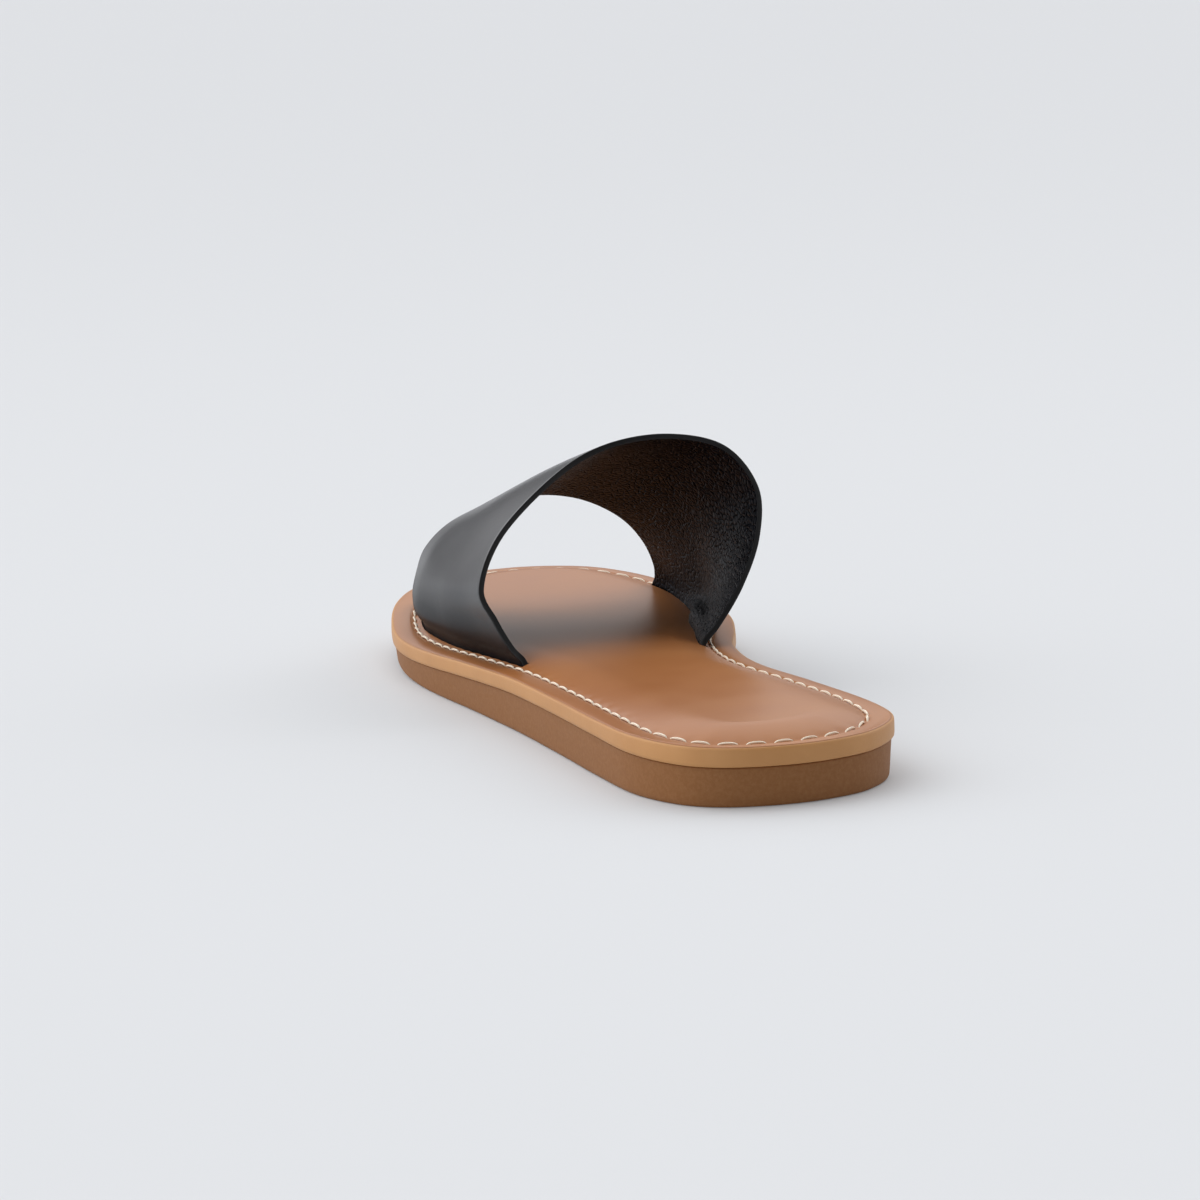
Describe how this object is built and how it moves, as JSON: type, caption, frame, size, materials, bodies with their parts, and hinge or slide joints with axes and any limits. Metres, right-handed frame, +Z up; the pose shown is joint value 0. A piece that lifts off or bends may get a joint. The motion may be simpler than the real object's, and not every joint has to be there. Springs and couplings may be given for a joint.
{
  "type": "slide sandal",
  "caption": "Left slide sandal with a flat moulded sole, a padded stitched footbed and one wide black strap over the instep, standing empty.",
  "frame": {"origin": "on the floor under the middle of the shoe's bounding box", "axes": "+Y from heel to toe, +X towards the inner side of the foot, +Z up"},
  "size_m": [0.0906, 0.261, 0.0649],
  "materials": {
    "outsole_rubber": "matte brown moulded rubber",
    "midsole_edge": "satin light tan wrapped edge",
    "insole_leather": "smooth tan synthetic leather with a soft gloss",
    "strap_leather": "smooth black synthetic leather with a soft gloss"
  },
  "bodies": {
    "root": {"outsole": "outsole_rubber", "midsole": "midsole_edge", "insole": "insole_leather", "strap": "strap_leather"}
  },
  "joints": []
}
